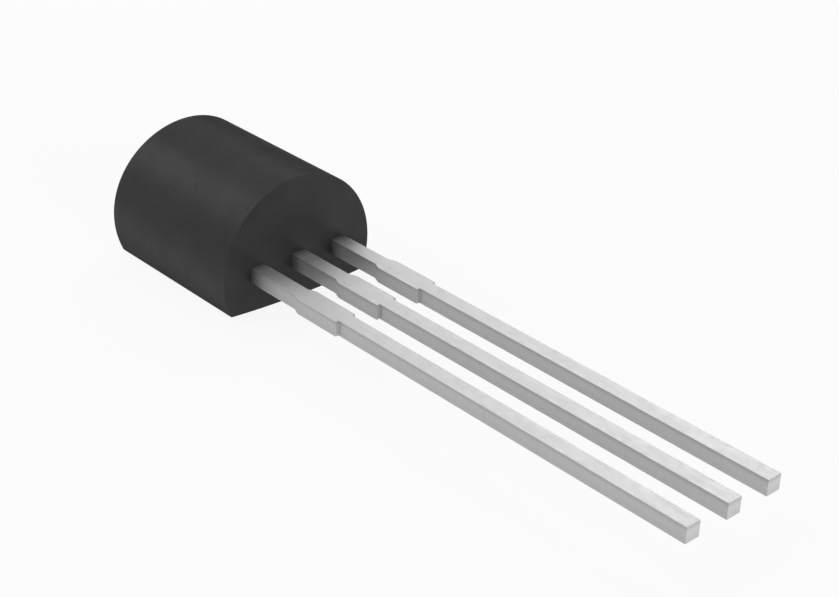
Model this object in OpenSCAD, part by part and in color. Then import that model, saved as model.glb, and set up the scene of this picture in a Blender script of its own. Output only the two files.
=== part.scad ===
// Temperature sensor in a moulded package with three straight leads.
//
// A stamped lead frame holds a sensor die, bonded with fine wires, and a D-shaped epoxy body is
// moulded round it. The leads run along +X, out of the body's front face, which lies at x = 0.
// The body reaches to -X. Lead 1 is at +Y and lead 3 at -Y. +Z points from the flat side of the
// body towards its round side. The origin is the middle of lead 2 where it leaves the body.

/* [Body] */
// Length of the body along the leads
body_length = 4.8; // [4.4:0.05:6]
// Radius of the round side
body_r = 2.29; // [1.95:0.01:3]
// Distance from the axis of the round side to the two corners of the flat side
flat_depth = 0.92; // [0.6:0.01:1.6]
// How far the flat side bows outwards between its corners
flat_crown = 0.085; // [0.02:0.005:0.3]
// Height of the lead plane above the axis of the round side
lead_rise = 0.04; // [0:0.01:0.3]

/* [Leads outside the body] */
// Distance between the middles of neighbouring leads
lead_pitch = 1.27; // [1.1:0.01:1.5]
// Width of a lead
lead_w = 0.42; // [0.3:0.01:0.55]
// Thickness of the sheet that the leads are stamped from
lead_t = 0.41; // [0.25:0.01:0.5]
// Length of the leads from the body's front face
lead_length = 14; // [8:0.5:27]
// Distance from the body to the wide stretch that the cut dam bar leaves on each lead
stub_start = 1.72; // [1.2:0.01:3]
// Length of the wide stretch, with its slanted shoulders
stub_length = 1.65; // [1:0.01:2.5]
// Length of the slanted shoulders at the body's end of the wide stretch
stub_shoulder = 0.21; // [0.05:0.01:0.5]
// How far the wide stretch stands out on each side of a lead
stub_side = 0.09; // [0.03:0.005:0.15]

/* [Lead frame inside the body] */
// Distance from the front face to the middle of the lock notches
lock_depth = 0.42; // [0.3:0.01:0.5]
// Radius of the half-round notches that lock each lead in the moulding
lock_notch_r = 0.09; // [0.05:0.01:0.12]
// Distance from the front face to the bond posts
post_start = 0.75; // [0.6:0.01:0.9]
// Length of a bond post
post_length = 1; // [0.7:0.01:1.3]
// Width of a bond post on an outer lead
post_w = 0.95; // [0.6:0.01:1.1]
// Width of the neck between lead 2 and the die pad
neck_w = 0.6; // [0.45:0.01:0.7]
// Gap between the bond posts and the die pad
pad_gap = 0.35; // [0.2:0.01:0.5]
// Width of the die pad
pad_w = 2.3; // [1.6:0.01:3]
// Thickness of moulding beyond the far edge of the die pad
pad_cover = 0.5; // [0.3:0.01:0.7]
// Diameter of the hole through the die pad that locks it in the moulding
lock_hole_d = 0.4; // [0.2:0.01:0.5]
// Distance from the far edge of the die pad to the middle of the lock hole
lock_hole_inset = 0.42; // [0.3:0.01:0.5]
// Radius of the corners of the die pad and the bond posts
stamp_corner_r = 0.12; // [0.05:0.01:0.2]

/* [Die] */
// Length of the die, along the leads
die_length = 1.1; // [0.6:0.01:1.25]
// Width of the die
die_w = 1; // [0.6:0.01:2]
// Thickness of the die
die_t = 0.25; // [0.15:0.01:0.4]
// Distance from the near edge of the die pad to the die
die_inset = 0.2; // [0.15:0.01:0.3]
// Thickness of the adhesive under the die
attach_t = 0.03; // [0.02:0.005:0.06]
// How far the adhesive spreads beyond the die
attach_spread = 0.07; // [0.02:0.005:0.12]

/* [Bond wires] */
// Diameter of a bond wire
wire_d = 0.05; // [0.03:0.005:0.065]
// Diameter of the flattened ball at the die end of a wire
ball_d = 0.12; // [0.09:0.005:0.16]
// Height of the flattened ball
ball_t = 0.04; // [0.02:0.005:0.06]
// Distance from the edges of the die to the middle of a ball
ball_inset = 0.15; // [0.1:0.01:0.25]
// Straight rise of a wire above its ball
wire_rise = 0.1; // [0.03:0.01:0.2]
// Diameter of the pressed foot at the lead end of a wire
foot_d = 0.14; // [0.09:0.005:0.2]
// Height of the pressed foot
foot_t = 0.035; // [0.035:0.005:0.06]

/* [Hidden] */

// Half the width between the corners of the flat side
corner_y = sqrt(body_r ^ 2 - flat_depth ^ 2);
// Radius of the arc that bows the flat side out
crown_r = (corner_y ^ 2 + flat_crown ^ 2) / (2 * flat_crown);
// Upper face of the lead frame, on which the die and the wire feet sit
frame_top = lead_t / 2;
// Near and far edges of the die pad, measured from the front face
pad_start = post_start + post_length + pad_gap;
pad_end = body_length - pad_cover;
// Lower face of the die
die_bottom = frame_top + attach_t;
// Near edge of the die, measured from the front face
die_start = pad_start + die_inset;
// Middle of the wire feet, measured from the front face
foot_depth = post_start + post_length / 2;

BODY_FACES = 180;
CROWN_FACES = 1440;
STAMP_FACES = 32;
WIRE_FACES = 16;
LOOP_FACES = 64;

EPOXY = "#333436";
TIN = "#c9cacb";
ADHESIVE = "#9a9c9f";
SILICON = "#59606b";
GOLD = "#d8b45a";

// Y of lead 1, 2 or 3
function lead_y(number) = (2 - number) * lead_pitch;

// ---------------------------------------------------------------- lead frame

// A rectangle with round corners, centred on Y, that starts at x = -depth and reaches to -X
module stamped_plate(depth, length, width) {
    r = stamp_corner_r;
    translate([-depth - length, -width / 2]) {
        translate([r, 0]) square([length - 2 * r, width]);
        translate([0, r]) square([length, width - 2 * r]);
        for (x = [r, length - r], y = [r, width - r])
            translate([x, y]) circle(r, $fn = STAMP_FACES);
    }
}

// Flat outline of the straight lead, with the stub of the dam bar and the lock notches
module lead_strip() {
    half_w = lead_w / 2;
    stub_half_w = half_w + stub_side;
    difference() {
        translate([-post_start - stamp_corner_r, -half_w])
            square([lead_length + post_start + stamp_corner_r, lead_w]);
        for (side = [-1, 1])
            translate([-lock_depth, side * half_w]) circle(lock_notch_r, $fn = STAMP_FACES);
    }
    polygon([
        [stub_start, -half_w],
        [stub_start + stub_shoulder, -stub_half_w],
        [stub_start + stub_length, -stub_half_w],
        [stub_start + stub_length, stub_half_w],
        [stub_start + stub_shoulder, stub_half_w],
        [stub_start, half_w]
    ]);
}

// Neck and die pad at the inner end of lead 2
module die_pad() {
    translate([-pad_start - stamp_corner_r, -neck_w / 2])
        square([pad_start - post_start + stamp_corner_r, neck_w]);
    difference() {
        stamped_plate(pad_start, pad_end - pad_start, pad_w);
        translate([-pad_end + lock_hole_inset, 0])
            circle(d = lock_hole_d, $fn = STAMP_FACES);
    }
}

// One lead of the frame, stamped flat. Its inner end is a bond post, or the die pad on lead 2
module stamped_lead(number) {
    color(TIN)
        translate([0, lead_y(number), -lead_t / 2])
            linear_extrude(lead_t) {
                lead_strip();
                if (number == 2)
                    die_pad();
                else
                    stamped_plate(post_start, post_length, post_w);
            }
}

module lead_1() { stamped_lead(1); }
module lead_2() { stamped_lead(2); }
module lead_3() { stamped_lead(3); }

// ---------------------------------------------------------------- die

module die_attach() {
    length = die_length + 2 * attach_spread;
    width = die_w + 2 * attach_spread;
    color(ADHESIVE)
        translate([-die_start - die_length - attach_spread, -width / 2, frame_top])
            cube([length, width, attach_t]);
}

module sensor_die() {
    color(SILICON)
        translate([-die_start - die_length, -die_w / 2, die_bottom])
            cube([die_length, die_w, die_t]);
}

// ---------------------------------------------------------------- bond wires

// A wire in the XZ plane. It rises from a ball that sits rise above the origin, and loops over in
// one arc down to a foot on the plane z = 0, span further along X
module looped_wire(span, rise) {
    neck_top = rise + ball_t + wire_rise;
    fall = neck_top - wire_d / 2;
    loop_r = (span ^ 2 + fall ^ 2) / (2 * span);
    sweep = 360 - acos(1 - span / loop_r);
    translate([0, 0, rise]) cylinder(ball_t, d = ball_d, $fn = STAMP_FACES);
    translate([0, 0, rise + ball_t]) cylinder(wire_rise, d = wire_d, $fn = WIRE_FACES);
    translate([loop_r, 0, neck_top]) rotate([90, 0, 180])
        rotate_extrude(angle = sweep, $fn = LOOP_FACES)
            translate([loop_r, 0]) circle(d = wire_d, $fn = WIRE_FACES);
    translate([span, 0, 0]) cylinder(foot_t, d = foot_d, $fn = STAMP_FACES);
}

// The wire of lead 1, 2 or 3, from the near edge of the die to the lead's post or neck
module bond_wire(number) {
    start = [-die_start - ball_inset, (2 - number) * (die_w / 2 - ball_inset)];
    end = [-foot_depth, lead_y(number)];
    run = end - start;
    color(GOLD)
        translate([start.x, start.y, frame_top])
            rotate([0, 0, atan2(run.y, run.x)])
                looped_wire(norm(run), attach_t + die_t);
}

module bond_wire_1() { bond_wire(1); }
module bond_wire_2() { bond_wire(2); }
module bond_wire_3() { bond_wire(3); }

// ---------------------------------------------------------------- body

// Section of the body across the leads: a round side closed by a slightly bowed flat side
module body_section() {
    translate([0, -lead_rise]) intersection() {
        circle(body_r, $fn = BODY_FACES);
        translate([0, crown_r - flat_depth - flat_crown]) circle(crown_r, $fn = CROWN_FACES);
    }
}

// The moulding fills the whole section round the lead frame, the die and the wires
module moulded_body() {
    color(EPOXY) difference() {
        rotate([90, 0, -90]) linear_extrude(body_length) body_section();
        for (number = [1:3]) {
            stamped_lead(number);
            bond_wire(number);
        }
        die_attach();
        sensor_die();
    }
}

moulded_body();
lead_1();
lead_2();
lead_3();
die_attach();
sensor_die();
bond_wire_1();
bond_wire_2();
bond_wire_3();
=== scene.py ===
"""Looks of a temperature sensor in a moulded package with three straight leads.

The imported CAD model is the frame. The moulding and the three stamped leads are modelled again here
with their moulded and stamped edges, in the places of their CAD nodes. The die, its adhesive and the
bond wires are sealed inside, keep their CAD meshes and get their finishes.

+X runs along the leads, away from the body, lead 1 is at +Y, and +Z points from the flat side of the
body to its round side. Sizes are in millimetres until a mesh is finished, which puts it in metres.
"""

import logging
import math
from collections import defaultdict
from collections.abc import Iterable, Mapping
from dataclasses import dataclass
from enum import Enum
from typing import Any, Self

import bmesh
import bpy
from mathutils import Matrix, Vector


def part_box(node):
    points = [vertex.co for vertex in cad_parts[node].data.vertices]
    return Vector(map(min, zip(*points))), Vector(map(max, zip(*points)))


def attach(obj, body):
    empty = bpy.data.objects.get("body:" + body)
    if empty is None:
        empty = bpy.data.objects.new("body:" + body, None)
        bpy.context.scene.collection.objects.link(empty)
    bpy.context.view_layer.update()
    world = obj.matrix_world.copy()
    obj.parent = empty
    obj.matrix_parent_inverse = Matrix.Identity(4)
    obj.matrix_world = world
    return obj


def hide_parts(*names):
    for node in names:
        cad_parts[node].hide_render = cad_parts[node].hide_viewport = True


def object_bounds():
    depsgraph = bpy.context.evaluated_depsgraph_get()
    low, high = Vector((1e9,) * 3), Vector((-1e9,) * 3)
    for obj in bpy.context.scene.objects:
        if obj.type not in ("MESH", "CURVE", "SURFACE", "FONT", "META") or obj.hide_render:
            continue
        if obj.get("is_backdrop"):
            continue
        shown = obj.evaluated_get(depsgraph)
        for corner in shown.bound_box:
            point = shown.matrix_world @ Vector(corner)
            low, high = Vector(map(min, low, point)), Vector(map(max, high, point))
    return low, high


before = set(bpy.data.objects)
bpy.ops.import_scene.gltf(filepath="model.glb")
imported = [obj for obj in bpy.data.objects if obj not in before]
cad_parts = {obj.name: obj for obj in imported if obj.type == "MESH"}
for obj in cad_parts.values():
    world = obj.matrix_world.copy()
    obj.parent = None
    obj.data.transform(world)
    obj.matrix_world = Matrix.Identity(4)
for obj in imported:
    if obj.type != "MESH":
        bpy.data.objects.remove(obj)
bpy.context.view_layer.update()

# A millimetre in metres
MM = 0.001
# The body of the mechanism that every piece rides on
BODY = "root"
# Strength of the white background
BACKGROUND = 1.0
# Vertices closer than this are merged, in millimetres
WELD = 1e-5
# Faces that meet at a larger angle meet in an edge
SHARP = math.radians(35)

log = logging.getLogger("sensor")


class Slot(Enum):
    """Material slots of the record."""

    EPOXY = "epoxy"
    TINNED_COPPER = "tinned_copper"


# ---------------------------------------------------------------- shader maths


class Signal:
    """A number on a node socket. Its operators add the Math nodes that they need."""

    def __init__(self, graph: "Graph", socket: bpy.types.NodeSocket) -> None:
        """Wraps a socket.

        Args:
            graph: The node graph that the socket is in.
            socket: The output socket.
        """
        self.graph = graph
        self.socket = socket

    def _math(self, operation: str, first: "Term", second: "Term") -> "Signal":
        """Adds one Math node for two terms."""
        return self.graph.add("ShaderNodeMath", {0: first, 1: second}, operation=operation)

    def __add__(self, other: "Term") -> "Signal":
        """self + other."""
        return self._math("ADD", self, other)

    def __radd__(self, other: "Term") -> "Signal":
        """other + self."""
        return self._math("ADD", other, self)

    def __sub__(self, other: "Term") -> "Signal":
        """self - other."""
        return self._math("SUBTRACT", self, other)

    def __rsub__(self, other: "Term") -> "Signal":
        """other - self."""
        return self._math("SUBTRACT", other, self)

    def __mul__(self, other: "Term") -> "Signal":
        """self * other."""
        return self._math("MULTIPLY", self, other)

    def __rmul__(self, other: "Term") -> "Signal":
        """other * self."""
        return self._math("MULTIPLY", other, self)

    def largest(self, other: "Term") -> "Signal":
        """The larger of self and other."""
        return self._math("MAXIMUM", self, other)


Term = Signal | float
Value = Signal | float | tuple[float, ...]
Colour = tuple[float, float, float, float]


class Graph:
    """A node graph of a material or of the world."""

    def __init__(self, tree: bpy.types.NodeTree) -> None:
        """Empties a node tree.

        Args:
            tree: The tree to build in.
        """
        self.tree = tree
        self.tree.nodes.clear()

    def add(
        self,
        kind: str,
        values: Mapping[str | int, Value] | None = None,
        output: str | int = 0,
        **settings: Any,
    ) -> Signal:
        """Adds a node.

        Args:
            kind: The node's type.
            values: Values or signals for its input sockets.
            output: The output socket to return.
            **settings: The node's own settings, which are set before its sockets.

        Returns:
            The signal on the output socket.
        """
        node = self.tree.nodes.new(kind)
        for name, setting in settings.items():
            setattr(node, name, setting)
        for name, value in (values or {}).items():
            if isinstance(value, Signal):
                self.tree.links.new(value.socket, node.inputs[name])
            else:
                node.inputs[name].default_value = value
        return Signal(self, node.outputs[output] if node.outputs else node.inputs[0])

    def position(self, stretch: Vector = Vector((1, 1, 1))) -> Signal:
        """The point on the object in millimetres.

        Args:
            stretch: Factors along X, Y and Z. A pattern is drawn out along an axis with a small one.

        Returns:
            The point as a vector.
        """
        point = self.add("ShaderNodeTexCoord", output="Object")
        values = {"Vector": point, "Scale": tuple(stretch / MM)}
        return self.add("ShaderNodeMapping", values, vector_type="POINT")

    def noise(self, point: Signal, per_mm: float, detail: float = 2, roughness: float = 0.5) -> Signal:
        """Soft noise between 0 and 1.

        Args:
            point: Where to look it up, in millimetres.
            per_mm: Its spots to the millimetre.
            detail: Its octaves.
            roughness: The weight of the finer octaves.

        Returns:
            The noise, around 0.5.
        """
        values = {"Vector": point, "Scale": per_mm, "Detail": detail, "Roughness": roughness}
        return self.add("ShaderNodeTexNoise", values, noise_dimensions="3D")

    def ramp(self, value: Signal, low: float, high: float) -> Signal:
        """A smooth step.

        Args:
            value: The value to follow.
            low: Where the step starts.
            high: Where it ends, which may be lower than low.

        Returns:
            0 before the step and 1 after it.
        """
        values = {"Value": value, "From Min": low, "From Max": high}
        return self.add("ShaderNodeMapRange", values, interpolation_type="SMOOTHSTEP")

    def mix(self, factor: Term, first: Value, second: Value) -> Signal:
        """Mixes two colours.

        Args:
            factor: The share of the second colour.
            first: A colour.
            second: Another colour.

        Returns:
            The mixed colour.
        """
        values = {0: factor, 6: first, 7: second}
        return self.add("ShaderNodeMix", values, output=2, data_type="RGBA")

    def bump(self, height: Signal, depth: float, below: Signal | None = None) -> Signal:
        """A bumped normal.

        Args:
            height: The height, from 0 to 1.
            depth: How far 0 lies under 1, in millimetres.
            below: A normal to bump further.

        Returns:
            The normal.
        """
        values: dict[str | int, Value] = {"Height": height, "Distance": depth * MM}
        if below:
            values["Normal"] = below
        return self.add("ShaderNodeBump", values)


def new_material(name: str) -> tuple[bpy.types.Material, Graph]:
    """Makes an empty node material.

    Args:
        name: The material's name.

    Returns:
        The material and its graph.
    """
    material = bpy.data.materials.new(name)
    material.use_nodes = True
    return material, Graph(material.node_tree)


def finish_surface(graph: Graph, values: Mapping[str | int, Value]) -> None:
    """Adds the Principled shader and the output.

    Args:
        graph: The material's graph.
        values: Values or signals of the shader's sockets.
    """
    surface = graph.add("ShaderNodeBsdfPrincipled", values)
    graph.add("ShaderNodeOutputMaterial", {"Surface": surface})


def grey(level: float, warmth: float = 0.0) -> Colour:
    """A grey as a linear colour.

    Args:
        level: Its brightness as shown, from 0 to 255.
        warmth: How far red is above blue, as a share.

    Returns:
        The linear colour.
    """
    shown = level / 255
    linear = ((shown + 0.055) / 1.055) ** 2.4
    return (linear * (1 + warmth / 2), linear, linear * (1 - warmth / 2), 1.0)


# ---------------------------------------------------------------- finishes


@dataclass(frozen=True)
class ResinBleedAndShade:
    """The thin layer of resin that creeps out of the moulding along the leads, drawn long to also paint
    the shade that falls on the leads near the body.

    Attributes:
        reach: How far the resin and its painted shade reach from the body, in millimetres.
        thickest: Where it is thickest, just inside the body.
        wander: How far its edge wanders.
        blots_per_mm: Blots along its edge to the millimetre.
        shade: Shade of the stained tin, as shown.
        cover: How much of the tin it hides where it is thickest.
    """

    reach: float = 0.38
    thickest: float = -0.08
    wander: float = 0.12
    blots_per_mm: float = 5
    shade: float = 52
    cover: float = 0.75

    def stain_and_shade(self, graph: Graph, tin: Signal) -> Signal:
        """Stains a colour near the body, with painted shade there as well.

        Args:
            graph: The material's graph.
            tin: The colour of the clean tin.

        Returns:
            The stained colour.
        """
        point = graph.position()
        along = graph.add("ShaderNodeSeparateXYZ", {0: point}, output="X")
        creep = self.wander * (graph.noise(point, self.blots_per_mm, detail=2) - 0.5)
        # Resin and painted shade near the body, fading along the lead
        film_and_shade = self.cover * graph.ramp(along + creep, self.reach, self.thickest)
        return graph.mix(film_and_shade, tin, grey(self.shade))


@dataclass(frozen=True)
class MouldedEpoxy:
    """Filled black epoxy with the fine grain of its mould.

    Attributes:
        dark: The darker shade, as shown.
        light: The lighter shade, as shown.
        cloud_per_mm: Clouds of the filler to the millimetre.
        grain_per_mm: Grains of the mould to the millimetre.
        grain_depth: Depth of the grain in millimetres.
        pit_level: Level of the noise below which the resin is pitted.
        specular: Specular level of the resin.
        roughness: Roughness between the grains.
        rim_roughness: Roughness added where the surface turns out of sight.
    """

    dark: float = 37
    light: float = 43
    cloud_per_mm: float = 1.3
    grain_per_mm: float = 26
    grain_depth: float = 0.003
    pit_level: float = 0.3
    specular: float = 0.15
    roughness: float = 0.34
    rim_roughness: float = 0.5

    def material(self) -> bpy.types.Material:
        """Builds the material.

        Returns:
            The material.
        """
        material, graph = new_material("moulded_epoxy")
        point = graph.position()
        cloud = graph.noise(point, self.cloud_per_mm, detail=4)
        grain = graph.noise(point, self.grain_per_mm, detail=3, roughness=0.6)
        lumps = graph.noise(point, self.grain_per_mm / 3, detail=1)
        pit = graph.ramp(lumps, self.pit_level + 0.03, self.pit_level - 0.03)
        turned = graph.add("ShaderNodeLayerWeight", {"Blend": 0.5}, output="Facing")
        rim = graph.ramp(turned, 0.4, 0.85)
        shade = graph.ramp(0.7 * cloud + 0.3 * grain, 0.3, 0.7)
        dull = 0.1 * grain - 0.06 * cloud + 0.1 * pit + self.rim_roughness * rim
        finish_surface(
            graph,
            {
                "Base Color": graph.mix(shade, grey(self.dark), grey(self.light)),
                "Roughness": self.roughness + dull,
                "Specular IOR Level": self.specular,
                "Normal": graph.bump(grain - 0.6 * pit, self.grain_depth),
            },
        )
        return material


@dataclass(frozen=True)
class RolledTin:
    """Matte tin on the rolled faces of the strip, with faint lines along the rolling direction.

    Attributes:
        dark: The darker shade, as shown.
        light: The lighter shade, as shown.
        warmth: How far red is above blue in them.
        lines_per_mm: Rolling lines to the millimetre.
        line_depth: Depth of the rolling lines in millimetres.
        mottle_per_mm: Tin grains to the millimetre.
        grain_depth: Depth of the finest grains in millimetres.
        metallic: How metallic the matte tin looks.
        roughness: Roughness of the brighter grains.
        bleed_and_shade: The resin on the rolled faces, with painted shade near the body.
    """

    dark: float = 201
    light: float = 207
    warmth: float = 0.01
    lines_per_mm: float = 30
    line_depth: float = 0.0012
    mottle_per_mm: float = 7
    grain_depth: float = 0.001
    metallic: float = 0.5
    roughness: float = 0.42
    bleed_and_shade: ResinBleedAndShade = ResinBleedAndShade()

    def material(self) -> bpy.types.Material:
        """Builds the material.

        Returns:
            The material.
        """
        material, graph = new_material("rolled_tin")
        lines = graph.noise(graph.position(Vector((0.03, 1, 1))), self.lines_per_mm, detail=3)
        mottle = graph.noise(graph.position(Vector((0.6, 1, 1))), self.mottle_per_mm, detail=3)
        grain = graph.noise(graph.position(), 9 * self.mottle_per_mm, detail=2)
        shade = graph.ramp(0.5 * mottle + 0.3 * lines + 0.2 * grain, 0.36, 0.64)
        tin = graph.mix(shade, grey(self.dark, self.warmth), grey(self.light, self.warmth))
        finish_surface(
            graph,
            {
                # Painted shade and resin near the body, over the tin's own colour
                "Base Color": self.bleed_and_shade.stain_and_shade(graph, tin),
                "Metallic": self.metallic,
                "Roughness": self.roughness + 0.08 * (1 - shade),
                "Normal": graph.bump(lines, self.line_depth, graph.bump(grain, self.grain_depth)),
            },
        )
        return material


@dataclass(frozen=True)
class ShearedTin:
    """Tin on the sheared sides of a lead: a burnished band over a rougher torn one, with painted shade
    along the upper edge. Both bands are darker than the rolled faces, partly for the cut finish and
    partly as painted shade on the sides.

    Attributes:
        dark: Shade of the torn band, as shown.
        light: Shade of the burnished band, as shown.
        painted_edge_shade: Painted shade of the strip under the upper edge, as shown.
        warmth: How far red is above blue in them.
        marks_per_mm: Marks of the punch to the millimetre.
        mark_depth: Depth of the marks in millimetres.
        grain_depth: Depth of the torn grain in millimetres.
        tear: Height where the torn band starts, from the middle of the strip.
        edge_shade_start: Height where the painted shade under the upper edge starts.
        metallic: How metallic the sides look.
        roughness: Roughness of the burnished band.
        bleed_and_shade: The resin on the cut, with painted shade near the body that reaches further and
            is darker than on the rolled faces.
    """

    dark: float = 179
    light: float = 187
    painted_edge_shade: float = 154
    warmth: float = 0.01
    marks_per_mm: float = 22
    mark_depth: float = 0.0005
    grain_depth: float = 0.001
    tear: float = -0.03
    edge_shade_start: float = 0.1
    metallic: float = 0.5
    roughness: float = 0.4
    # Reaches further and hides more: painted shade on the sides near the body, with the resin
    bleed_and_shade: ResinBleedAndShade = ResinBleedAndShade(reach=0.55, cover=0.85)

    def material(self) -> bpy.types.Material:
        """Builds the material.

        Returns:
            The material.
        """
        material, graph = new_material("sheared_tin")
        marks = graph.noise(graph.position(Vector((1, 1, 0.05))), self.marks_per_mm, detail=3)
        grain = graph.noise(graph.position(), 2 * self.marks_per_mm, detail=3)
        height = graph.add("ShaderNodeSeparateXYZ", {0: graph.position()}, output="Z")
        torn = graph.ramp(height + 0.12 * (grain - 0.5), self.tear, self.tear - 0.05)
        shade = graph.ramp(0.4 * marks + 0.6 * grain, 0.35, 0.65) * (1 - 0.45 * torn)
        # Darker than the rolled tin: partly the cut finish, partly painted shade on the sides
        cut = graph.mix(shade, grey(self.dark, self.warmth), grey(self.light, self.warmth))
        # Painted shade: a darker strip along the top of the side, under the upper edge
        drawn = 0.5 * graph.ramp(height, self.edge_shade_start, self.edge_shade_start + 0.06)
        tin = graph.mix(drawn, cut, grey(self.painted_edge_shade, self.warmth))
        normal = graph.bump(marks, self.mark_depth, graph.bump(grain * torn, self.grain_depth))
        finish_surface(
            graph,
            {
                # Painted shade and resin near the body
                "Base Color": self.bleed_and_shade.stain_and_shade(graph, tin),
                "Metallic": self.metallic,
                "Roughness": self.roughness + 0.1 * torn + 0.06 * grain,
                "Normal": normal,
            },
        )
        return material


@dataclass(frozen=True)
class DieAdhesive:
    """Resin filled with silver flakes, which holds the die.

    Attributes:
        resin: Shade of the resin, as shown.
        flake: Shade of the flakes, as shown.
        flakes_per_mm: Flakes to the millimetre.
        lump_depth: Depth of its lumps in millimetres.
    """

    resin: float = 132
    flake: float = 205
    flakes_per_mm: float = 60
    lump_depth: float = 0.004

    def material(self) -> bpy.types.Material:
        """Builds the material.

        Returns:
            The material.
        """
        material, graph = new_material("silver_adhesive")
        point = graph.position()
        values = {"Vector": point, "Scale": self.flakes_per_mm}
        cells = graph.add("ShaderNodeTexVoronoi", values, output="Color")
        tone = graph.add("ShaderNodeSeparateColor", {0: cells})
        flake = graph.ramp(tone, 0.45, 0.6)
        lumps = graph.noise(point, self.flakes_per_mm / 6, detail=2)
        finish_surface(
            graph,
            {
                "Base Color": graph.mix(flake, grey(self.resin), grey(self.flake)),
                "Metallic": 0.8 * flake,
                "Roughness": 0.62 - 0.22 * flake,
                "Normal": graph.bump(lumps + 0.3 * tone, self.lump_depth),
            },
        )
        return material


@dataclass(frozen=True)
class DiePassivation:
    """Silicon under its glass coat, with blocks of fine wiring inside a bare scribed edge.

    Attributes:
        silicon: Shade of bare silicon, as shown.
        wiring: Shade of the wiring, as shown.
        block_per_mm: Wiring blocks to the millimetre.
        tracks_per_mm: Tracks to the millimetre.
        wiring_depth: Height of the wiring in millimetres.
        glass: Weight of the glass coat.
    """

    silicon: float = 96
    wiring: float = 136
    block_per_mm: float = 5
    tracks_per_mm: float = 34
    wiring_depth: float = 0.001
    glass: float = 0.4

    def material(self) -> bpy.types.Material:
        """Builds the material.

        Returns:
            The material.
        """
        material, graph = new_material("silicon_die")
        point = graph.position()
        values = {"Vector": point, "Scale": self.block_per_mm}
        cells = graph.add("ShaderNodeTexVoronoi", values, output="Color", distance="CHEBYCHEV")
        block = graph.add("ShaderNodeSeparateColor", {0: cells})
        values = {"Vector": point, "Scale": self.tracks_per_mm / 6}
        tracks = graph.add("ShaderNodeTexWave", values, output="Fac", bands_direction="Y")
        wiring = graph.ramp(tracks, 0.4, 0.6) * graph.ramp(block, 0.3, 0.5)
        bare, metal = grey(self.silicon, -0.16), grey(self.wiring, 0.12)
        finish_surface(
            graph,
            {
                "Base Color": graph.mix(0.6 * wiring + 0.3 * block, bare, metal),
                "Metallic": 0.35 + 0.4 * wiring,
                "Roughness": 0.24 + 0.12 * graph.noise(point, self.block_per_mm * 4),
                "Normal": graph.bump(wiring, self.wiring_depth),
                "Coat Weight": self.glass,
            },
        )
        return material


@dataclass(frozen=True)
class DrawnGold:
    """Drawn gold wire with fine lines.

    Attributes:
        pale: The lighter gold, as a linear colour.
        deep: The deeper gold, as a linear colour.
        lines_per_mm: Die lines to the millimetre.
        line_depth: Depth of the lines in millimetres.
        roughness: Roughness in the lines.
    """

    pale: Colour = (0.94, 0.70, 0.33, 1.0)
    deep: Colour = (0.80, 0.52, 0.19, 1.0)
    lines_per_mm: float = 90
    line_depth: float = 0.0006
    roughness: float = 0.2

    def material(self) -> bpy.types.Material:
        """Builds the material.

        Returns:
            The material.
        """
        material, graph = new_material("drawn_gold")
        lines = graph.noise(graph.position(Vector((0.15, 1, 1))), self.lines_per_mm, detail=2)
        patina = graph.noise(graph.position(), self.lines_per_mm / 10, detail=2)
        finish_surface(
            graph,
            {
                "Base Color": graph.mix(graph.ramp(patina, 0.35, 0.65), self.pale, self.deep),
                "Metallic": 1.0,
                "Roughness": self.roughness + 0.12 * lines + 0.08 * patina,
                "Normal": graph.bump(lines, self.line_depth),
            },
        )
        return material


# ---------------------------------------------------------------- modelling helpers


class Pen:
    """Draws a flat outline by extruding its last vertex along lines and arcs."""

    def __init__(self, start: Vector) -> None:
        """Sets the pen down.

        Args:
            start: The first point, in millimetres.
        """
        self.mesh = bmesh.new()
        self.first = self.mesh.verts.new(start)
        self.last = self.first

    def line(self, *corners: Vector) -> Self:
        """Draws straight runs.

        Args:
            *corners: The points to go through.

        Returns:
            The pen.
        """
        for corner in corners:
            grown = bmesh.ops.extrude_vert_indiv(self.mesh, verts=[self.last])
            self.last = grown["verts"][0]
            self.last.co = corner
        return self

    def arc(self, centre: Vector, axis: Vector, angle: float, steps: int) -> Self:
        """Draws an arc.

        Args:
            centre: Its centre.
            axis: The direction that it turns about.
            angle: How far it turns, in radians.
            steps: Its straight steps.

        Returns:
            The pen.
        """
        swept = bmesh.ops.spin(
            self.mesh, geom=[self.last], cent=centre, axis=axis, angle=angle, steps=steps
        )
        self.last = next(item for item in swept["geom_last"] if isinstance(item, bmesh.types.BMVert))
        return self

    def fill(self) -> bmesh.types.BMesh:
        """Closes the outline and fills it with one face.

        Returns:
            The mesh of the face.
        """
        if (self.last.co - self.first.co).length > WELD:
            bmesh.ops.contextual_create(self.mesh, geom=[self.last, self.first])
        bmesh.ops.remove_doubles(self.mesh, verts=self.mesh.verts[:], dist=WELD)
        bmesh.ops.contextual_create(self.mesh, geom=self.mesh.edges[:])
        return self.mesh


def pull(mesh: bmesh.types.BMesh, travel: Vector) -> None:
    """Extrudes every face of a flat mesh into one closed solid.

    Args:
        mesh: The mesh.
        travel: How far and which way.
    """
    grown = bmesh.ops.extrude_face_region(mesh, geom=mesh.faces[:])
    verts = [item for item in grown["geom"] if isinstance(item, bmesh.types.BMVert)]
    bmesh.ops.translate(mesh, verts=verts, vec=travel)
    bmesh.ops.recalc_face_normals(mesh, faces=mesh.faces[:])


def round_edges(mesh: bmesh.types.BMesh, radius: float, segments: int) -> None:
    """Rounds every edge of a closed mesh where its faces meet at an angle.

    Args:
        mesh: The mesh.
        radius: The radius.
        segments: Faces across the rounding.
    """
    bmesh.ops.bevel(
        mesh,
        geom=[edge for edge in mesh.edges if edge.calc_face_angle(0) > SHARP],
        offset=radius,
        offset_type="OFFSET",
        segments=segments,
        profile=0.5,
        affect="EDGES",
        clamp_overlap=True,
        material=-1,
    )


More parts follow.
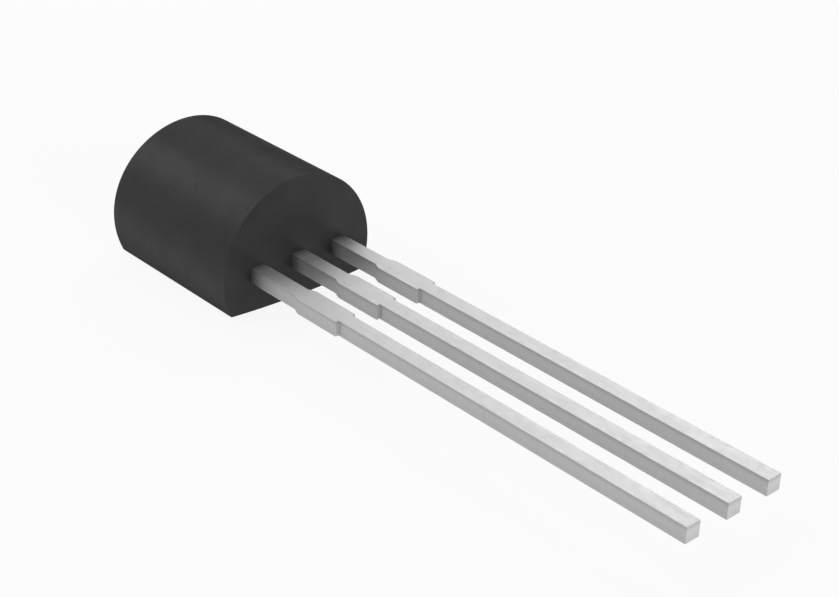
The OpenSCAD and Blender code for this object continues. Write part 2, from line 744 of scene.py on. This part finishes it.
def new_piece(name: str, mesh: bmesh.types.BMesh) -> bpy.types.Object:
    """Turns a finished mesh into an object in metres.

    Args:
        name: The piece's name.
        mesh: Its mesh in millimetres, which is freed.

    Returns:
        The object, at the origin.
    """
    bmesh.ops.scale(mesh, vec=Vector((MM, MM, MM)), verts=mesh.verts[:])
    data = bpy.data.meshes.new(name)
    mesh.to_mesh(data)
    mesh.free()
    piece = bpy.data.objects.new(name, data)
    bpy.context.scene.collection.objects.link(piece)
    return piece


def smooth_faces(piece: bpy.types.Object) -> None:
    """Shades a piece smooth between its sharp edges, with flat faces kept flat.

    Each corner points as the faces that meet there smoothly do on average, weighted by their areas.

    Args:
        piece: The piece.
    """
    data = piece.data
    data.shade_smooth()
    data.set_sharp_from_angle(angle=SHARP)
    meeting = defaultdict(list)
    for face in data.polygons:
        for vert in face.vertices:
            meeting[vert].append(face)
    normals = []
    for face in data.polygons:
        for vert in face.vertices:
            smooth = (near for near in meeting[vert] if near.normal.angle(face.normal, 0) < SHARP)
            total = sum((near.area / MM**2 * near.normal for near in smooth), Vector())
            normals.append(total.normalized())
    data.normals_split_custom_set(normals)


def welded_copy(node: str) -> bpy.types.Object:
    """Copies a CAD node's loose triangles into one closed mesh.

    Args:
        node: The node's name.

    Returns:
        The copy, as a new object.
    """
    mesh = bmesh.new()
    mesh.from_mesh(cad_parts[node].data)
    bmesh.ops.scale(mesh, vec=Vector((1 / MM, 1 / MM, 1 / MM)), verts=mesh.verts[:])
    bmesh.ops.remove_doubles(mesh, verts=mesh.verts[:], dist=WELD)
    return new_piece(node + "_copy", mesh)


def carve(piece: bpy.types.Object, tools: Iterable[bpy.types.Object]) -> None:
    """Cuts other pieces' forms out of a piece.

    Args:
        piece: The piece, whose mesh is replaced.
        tools: The pieces to cut out.
    """
    for tool in tools:
        cut = piece.modifiers.new("cavity", "BOOLEAN")
        cut.operation = "DIFFERENCE"
        cut.solver = "MANIFOLD"
        cut.object = tool
    shown = piece.evaluated_get(bpy.context.evaluated_depsgraph_get())
    carved = bpy.data.meshes.new_from_object(shown)
    piece.modifiers.clear()
    piece.data = carved


# ---------------------------------------------------------------- lead frame


@dataclass
class LeadFrame:
    """The three leads that are stamped from one strip.

    Attributes:
        width: Width of a lead.
        stub_start: Distance from the body to the wide stretch that the dam bar leaves.
        stub_length: Length of the wide stretch.
        stub_shoulder: Length of its slanted shoulders.
        stub_side: How far it stands out on each side.
        notch_depth: Distance from the body's front face to the lock notches.
        notch_radius: Radius of the lock notches.
        post_start: Distance from the front face to the bond posts.
        neck_width: Width of the neck between lead 2 and the die pad.
        pad_start: Distance from the front face to the die pad.
        hole_radius: Radius of the lock hole in the die pad.
        hole_inset: Distance from the far edge of the die pad to the middle of the hole.
        corner_radius: Radius of the corners of the posts and the pad.
        edge_radius: Radius of the stamped edges.
        edge_segments: Faces across a stamped edge.
        arc_steps: Steps of a quarter turn.
    """

    width: float = 0.42
    stub_start: float = 1.72
    stub_length: float = 1.65
    stub_shoulder: float = 0.21
    stub_side: float = 0.09
    notch_depth: float = 0.42
    notch_radius: float = 0.09
    post_start: float = 0.75
    neck_width: float = 0.6
    pad_start: float = 2.1
    hole_radius: float = 0.2
    hole_inset: float = 0.42
    corner_radius: float = 0.12
    edge_radius: float = 0.016
    edge_segments: int = 2
    arc_steps: int = 8

    def __post_init__(self) -> None:
        """Takes the remaining sizes from the frame."""
        low, high = (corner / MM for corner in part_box("lead_1"))
        pad_low, pad_high = (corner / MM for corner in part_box("lead_2"))
        self.length = high.x
        self.thickness = high.z - low.z
        self.pitch = (low.y + high.y) / 2
        self.post_width = high.y - low.y
        self.post_end = -low.x
        self.pad_width = pad_high.y - pad_low.y
        self.pad_end = -pad_low.x

    def _start(self) -> Pen:
        """Draws half a lead from the middle of its tip to its bond post.

        Returns:
            The pen, where the lead meets its post or neck.
        """
        half = self.width / 2
        stub_end = self.stub_start + self.stub_length
        pen = Pen(Vector((self.length, 0, 0)))
        pen.line(
            Vector((self.length, half, 0)),
            Vector((stub_end, half, 0)),
            Vector((stub_end, half + self.stub_side, 0)),
            Vector((self.stub_start + self.stub_shoulder, half + self.stub_side, 0)),
            Vector((self.stub_start, half, 0)),
            Vector((self.notch_radius - self.notch_depth, half, 0)),
        )
        notch = Vector((-self.notch_depth, half, 0))
        pen.arc(notch, Vector((0, 0, -1)), math.pi, 2 * self.arc_steps)
        return pen.line(Vector((-self.post_start, half, 0)))

    def _plate(self, pen: Pen, near: float, far: float, width: float) -> None:
        """Draws half a plate with round corners, as far as the middle of its far edge.

        Args:
            pen: The pen, at the near edge.
            near: Distance from the front face to the near edge.
            far: Distance from the front face to the far edge.
            width: The plate's width.
        """
        side = width / 2
        r = self.corner_radius
        up = Vector((0, 0, 1))
        pen.line(Vector((-near, side - r, 0)))
        pen.arc(Vector((-near - r, side - r, 0)), up, math.pi / 2, self.arc_steps)
        pen.line(Vector((r - far, side, 0)))
        pen.arc(Vector((r - far, side - r, 0)), up, math.pi / 2, self.arc_steps)
        pen.line(Vector((-far, 0, 0)))

    def _bond_post(self) -> Pen:
        """Draws half an outer lead.

        Returns:
            The pen, in the middle of the lead's inner end.
        """
        pen = self._start()
        self._plate(pen, self.post_start, self.post_end, self.post_width)
        return pen

    def _die_pad(self) -> Pen:
        """Draws half of lead 2, round half of the lock hole in its pad.

        Returns:
            The pen, on the near side of the lock hole.
        """
        pen = self._start()
        half_neck = self.neck_width / 2
        pen.line(Vector((-self.post_start, half_neck, 0)), Vector((-self.pad_start, half_neck, 0)))
        self._plate(pen, self.pad_start, self.pad_end, self.pad_width)
        hole = Vector((self.hole_inset - self.pad_end, 0, 0))
        pen.line(hole - Vector((self.hole_radius, 0, 0)))
        pen.arc(hole, Vector((0, 0, -1)), math.pi, 2 * self.arc_steps)
        return pen

    def build(self, number: int) -> bpy.types.Object:
        """Models one lead.

        Args:
            number: 1, 2 or 3.

        Returns:
            The lead.
        """
        mesh = (self._die_pad() if number == 2 else self._bond_post()).fill()
        half = mesh.verts[:] + mesh.edges[:] + mesh.faces[:]
        bmesh.ops.mirror(mesh, geom=half, merge_dist=WELD, axis="Y")
        bmesh.ops.remove_doubles(mesh, verts=mesh.verts[:], dist=WELD)
        pull(mesh, Vector((0, 0, self.thickness)))
        for face in mesh.faces:
            # The sides take the darker sheared tin, which is partly painted shade on them
            face.material_index = int(abs(face.normal.z) < 0.5)
        round_edges(mesh, self.edge_radius, self.edge_segments)
        place = Vector((0, (2 - number) * self.pitch, -self.thickness / 2))
        bmesh.ops.translate(mesh, verts=mesh.verts[:], vec=place)
        return new_piece(f"stamped_lead_{number}", mesh)

    def dress(
        self,
        lead: bpy.types.Object,
        number: int,
        rolled: bpy.types.Material,
        sheared: bpy.types.Material,
    ) -> None:
        """Finishes a lead and puts it in its CAD node's place.

        Args:
            lead: The lead.
            number: 1, 2 or 3.
            rolled: Finish of the faces of the strip.
            sheared: Finish of the cut sides.
        """
        lead.data.materials.append(rolled)
        lead.data.materials.append(sheared)
        smooth_faces(lead)
        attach(lead, BODY)
        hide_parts(f"lead_{number}")


# ---------------------------------------------------------------- moulding


@dataclass
class Moulding:
    """The D-shaped body, moulded round the inner lead frame, the die and the wires.

    Attributes:
        radius: Radius of the round side.
        axis_height: Height of the axis of the round side.
        flat_depth: Distance from the axis to the corners of the flat side.
        flat_crown: How far the flat side bows out.
        far_reach: How far the middle of the far end stands out past the frame's far end.
        far_bow: How far the far end bows out between its lower and upper edges.
        far_strips: Strips across the bowed far end.
        edge_radius: Radius of the edges.
        edge_segments: Faces across an edge.
        round_steps: Steps round the round side.
        flat_steps: Steps across the flat side.
    """

    radius: float = 2.29
    axis_height: float = -0.04
    flat_depth: float = 0.92
    flat_crown: float = 0.085
    far_reach: float = 0.035
    far_bow: float = 0.09
    far_strips: int = 12
    edge_radius: float = 0.02
    edge_segments: int = 3
    round_steps: int = 144
    flat_steps: int = 24

    def __post_init__(self) -> None:
        """Takes the length from the frame."""
        self.length = -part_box("moulded_body")[0].x / MM

    def _cut_strips(self, section: bmesh.types.BMesh) -> None:
        """Cuts the flat section into level strips, from one side of its round edge to the other.

        Args:
            section: The section, symmetric about Y = 0.
        """
        section.verts.ensure_lookup_table()
        rim = section.verts[: self.round_steps + 1]
        step = self.round_steps // (2 * self.far_strips)
        for number in range(step, self.round_steps // 2, step):
            bmesh.ops.connect_verts(section, verts=[rim[number], rim[self.round_steps - number]])

    def _bow_far_end(self, mesh: bmesh.types.BMesh) -> None:
        """Bows the far end out.

        Args:
            mesh: The pulled section.
        """
        low = self.axis_height - self.flat_depth - self.flat_crown
        half = (self.axis_height + self.radius - low) / 2
        for vert in mesh.verts:
            if vert.co.x < -self.length / 2:
                bowed = ((vert.co.z - low) / half - 1) ** 2
                vert.co.x += self.far_bow * bowed - self.far_reach

    def build(self, tools: Iterable[bpy.types.Object]) -> bpy.types.Object:
        """Models the moulding with its cavities.

        Args:
            tools: What it is moulded round.

        Returns:
            The moulding.
        """
        along = Vector((1, 0, 0))
        corner_angle = math.asin(self.flat_depth / self.radius)
        half_flat = self.radius * math.cos(corner_angle)
        crown_radius = (half_flat**2 + self.flat_crown**2) / (2 * self.flat_crown)
        crown_height = self.axis_height - self.flat_depth - self.flat_crown + crown_radius
        pen = Pen(Vector((0, half_flat, self.axis_height - self.flat_depth)))
        pen.arc(Vector((0, 0, self.axis_height)), along, math.pi + 2 * corner_angle, self.round_steps)
        crown_angle = 2 * math.asin(half_flat / crown_radius)
        pen.arc(Vector((0, 0, crown_height)), along, crown_angle, self.flat_steps)
        mesh = pen.fill()
        self._cut_strips(mesh)
        pull(mesh, Vector((-self.length, 0, 0)))
        self._bow_far_end(mesh)
        round_edges(mesh, self.edge_radius, self.edge_segments)
        body = new_piece("moulding", mesh)
        carve(body, tools)
        return body

    def dress(self, body: bpy.types.Object, epoxy: bpy.types.Material) -> None:
        """Finishes the moulding and puts it in its CAD node's place.

        Args:
            body: The moulding.
            epoxy: Its finish.
        """
        body.data.materials.clear()
        body.data.materials.append(epoxy)
        smooth_faces(body)
        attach(body, BODY)
        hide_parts("moulded_body")


# ---------------------------------------------------------------- sealed pieces


@dataclass(frozen=True)
class SealedPieces:
    """The die, its adhesive and the bond wires, which keep their CAD meshes.

    Attributes:
        adhesive: Node of the adhesive.
        die: Node of the die.
        wires: Nodes of the bond wires.
    """

    adhesive: str = "die_attach"
    die: str = "sensor_die"
    wires: tuple[str, ...] = ("bond_wire_1", "bond_wire_2", "bond_wire_3")

    def nodes(self) -> tuple[str, ...]:
        """All their nodes."""
        return (self.adhesive, self.die, *self.wires)

    def dress(self) -> None:
        """Gives each CAD node its finish."""
        gold = DrawnGold().material()
        finishes = {self.adhesive: DieAdhesive().material(), self.die: DiePassivation().material()}
        for node in self.nodes():
            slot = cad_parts[node].material_slots[0]
            slot.material = finishes.get(node, gold)
            log.info("%s: CAD mesh, %s", node, slot.material.name)


# ---------------------------------------------------------------- studio


@dataclass(frozen=True)
class Viewpoint:
    """The camera.

    Attributes:
        azimuth: Turn round the object, in degrees.
        elevation: Angle above the horizon, in degrees.
        roll: Turn about the line of sight, in degrees.
        distance: Distance from the aim.
        aim: The point in the middle of the picture.
        lens: Focal length for the sensor's width.
        sensor: Width of the sensor.
    """

    azimuth: float = 47.2555
    elevation: float = 28.5505
    roll: float = 1.7371
    distance: float = 41.3479
    aim: tuple[float, float, float] = (4.527, 0.0, 0.7713)
    lens: float = 76.332
    sensor: float = 36.0

    def build(self) -> None:
        """Makes the scene's camera."""
        turn, rise, roll = (math.radians(angle) for angle in (self.azimuth, self.elevation, self.roll))
        back = Vector((math.sin(turn) * math.cos(rise), -math.cos(turn) * math.cos(rise), math.sin(rise)))
        level = Vector((math.cos(turn), math.sin(turn), 0))
        right = Matrix.Rotation(roll, 3, back) @ level
        data = bpy.data.cameras.new("camera")
        data.sensor_width = self.sensor
        data.lens = self.lens
        data.clip_start = self.distance * MM / 100
        data.clip_end = self.distance * MM * 100
        camera = bpy.data.objects.new("camera", data)
        axes = Matrix((right, back.cross(right), back)).transposed().to_4x4()
        camera.matrix_world = Matrix.Translation((Vector(self.aim) + self.distance * back) * MM) @ axes
        bpy.context.scene.collection.objects.link(camera)
        bpy.context.scene.camera = camera


@dataclass(frozen=True)
class Softbox:
    """A soft rectangular lamp that faces the object.

    Attributes:
        name: Its name.
        towards: Direction from the object to the lamp.
        width: Its level side.
        height: Its other side.
        level: Its brightness, where 1 is as bright as the white background.
        mirrored: Whether glossy surfaces show it.
        distance: Distance from the object.
    """

    name: str
    towards: tuple[float, float, float]
    width: float
    height: float
    level: float
    mirrored: bool = True
    distance: float = 150

    def build(self) -> None:
        """Makes the lamp."""
        data = bpy.data.lights.new(self.name, "AREA")
        data.shape = "RECTANGLE"
        data.size = self.width * MM
        data.size_y = self.height * MM
        data.energy = self.level * math.pi * data.size * data.size_y
        lamp = bpy.data.objects.new(self.name, data)
        towards = Vector(self.towards).normalized()
        turned = towards.to_track_quat("Z", "Y").to_matrix().to_4x4()
        lamp.matrix_world = Matrix.Translation(towards * self.distance * MM) @ turned
        lamp.visible_camera = False
        lamp.visible_glossy = self.mirrored
        bpy.context.scene.collection.objects.link(lamp)


@dataclass(frozen=True)
class Studio:
    """A pale floor under soft light.

    Attributes:
        floor_radius: Radius of the floor.
        floor_shade: Its colour, as shown.
        shadow_share: How much of the object's shadow the white floor shows.
        ambient: Level of the light from all round.
        horizon_gloss: Share of the white surroundings that glossy rays see.
        lamps: The softboxes.
    """

    floor_radius: float = 400
    floor_shade: float = 250
    shadow_share: float = 0.1
    ambient: float = 0.1
    horizon_gloss: float = 0.25
    lamps: tuple[Softbox, ...] = (
        Softbox("rear", (-0.75, 0.10, 0.65), 90, 60, 0.4),
        Softbox("rear_high", (-0.50, 0.00, 0.87), 100, 80, 1.6),
        Softbox("rear_left", (-0.75, -0.27, 0.60), 60, 60, 1.85),
        Softbox("corner_left", (-0.60, -0.50, 0.62), 80, 80, 1.5),
        Softbox("low_left", (-0.85, -0.45, 0.27), 60, 60, 0.65),
        Softbox("rear_strip", (-0.74, 0.58, 0.34), 50, 50, 0.8),
        Softbox("rear_right", (-0.42, 0.66, 0.62), 60, 60, 2.55),
        Softbox("left", (-0.55, -0.80, 0.25), 80, 80, 1.05),
        Softbox("right", (-0.20, 0.90, 0.40), 100, 100, 1.2),
        Softbox("front", (0.97, 0.05, 0.15), 120, 80, 6.8, mirrored=False),
        Softbox("front_left", (0.85, -0.50, 0.15), 80, 80, 4.9, mirrored=False),
    )

    @staticmethod
    def _seen(graph: Graph, gloss_share: float) -> Signal:
        """How much of the white background a ray sees.

        Args:
            graph: The graph of the background's material, or of the world.
            gloss_share: What glossy rays see of it.

        Returns:
            1 for camera and transmission rays, the share for glossy rays, and 0 for the others.
        """
        camera, glossy, through = (
            graph.add("ShaderNodeLightPath", output=f"Is {kind} Ray")
            for kind in ("Camera", "Glossy", "Transmission")
        )
        return camera.largest(through).largest(gloss_share * glossy)

    def _floor(self, height: float) -> None:
        """Models the floor and stages it.

        Args:
            height: Its height in metres.
        """
        mesh = bmesh.new()
        bmesh.ops.create_circle(mesh, cap_ends=True, radius=self.floor_radius, segments=96)
        bmesh.ops.translate(mesh, verts=mesh.verts[:], vec=Vector((0, 0, height / MM)))
        floor = new_piece("floor", mesh)
        material, graph = new_material("pale_floor")
        share = (1 - self.shadow_share) * self._seen(graph, 1)
        paper = graph.add("ShaderNodeBsdfDiffuse", {"Color": grey(self.floor_shade)})
        white = graph.add("ShaderNodeEmission", {"Strength": BACKGROUND})
        surface = graph.add("ShaderNodeMixShader", {0: share, 1: paper, 2: white})
        graph.add("ShaderNodeOutputMaterial", {"Surface": surface})
        floor.data.materials.append(material)
        floor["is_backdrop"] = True

    def _world(self) -> None:
        """Makes the white surroundings, which light the object at the plain ambient level."""
        world = bpy.data.worlds.new("surroundings")
        world.use_nodes = True
        graph = Graph(world.node_tree)
        strength = self.ambient + (BACKGROUND - self.ambient) * self._seen(graph, self.horizon_gloss)
        light = graph.add("ShaderNodeBackground", {"Color": (1, 1, 1, 1), "Strength": strength})
        graph.add("ShaderNodeOutputWorld", {"Surface": light})
        bpy.context.scene.world = world

    def build(self, height: float) -> None:
        """Sets up the studio.

        Args:
            height: Height of the floor in metres.
        """
        self._floor(height)
        self._world()
        for lamp in self.lamps:
            lamp.build()
        bpy.context.scene.view_settings.view_transform = "Standard"


def report(piece: bpy.types.Object) -> None:
    """Logs a piece's name and the size of its mesh.

    Args:
        piece: The piece.
    """
    log.info("%s: %d vertices, %d faces", piece.name, len(piece.data.vertices), len(piece.data.polygons))


def main() -> None:
    logging.basicConfig(level=logging.INFO, format="%(name)s: %(message)s")
    rolled, sheared = RolledTin().material(), ShearedTin().material()
    lead_frame = LeadFrame()
    leads = {number: lead_frame.build(number) for number in (1, 2, 3)}

    sealed = SealedPieces()
    copies = [welded_copy(node) for node in sealed.nodes()]
    moulding = Moulding()
    body = moulding.build([*leads.values(), *copies])
    for copy in copies:
        bpy.data.objects.remove(copy)

    for number, lead in leads.items():
        lead_frame.dress(lead, number, rolled, sheared)
        report(lead)
    moulding.dress(body, MouldedEpoxy().material())
    report(body)
    sealed.dress()

    Viewpoint().build()
    Studio().build(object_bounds()[0].z)


if __name__ == "__main__":
    main()
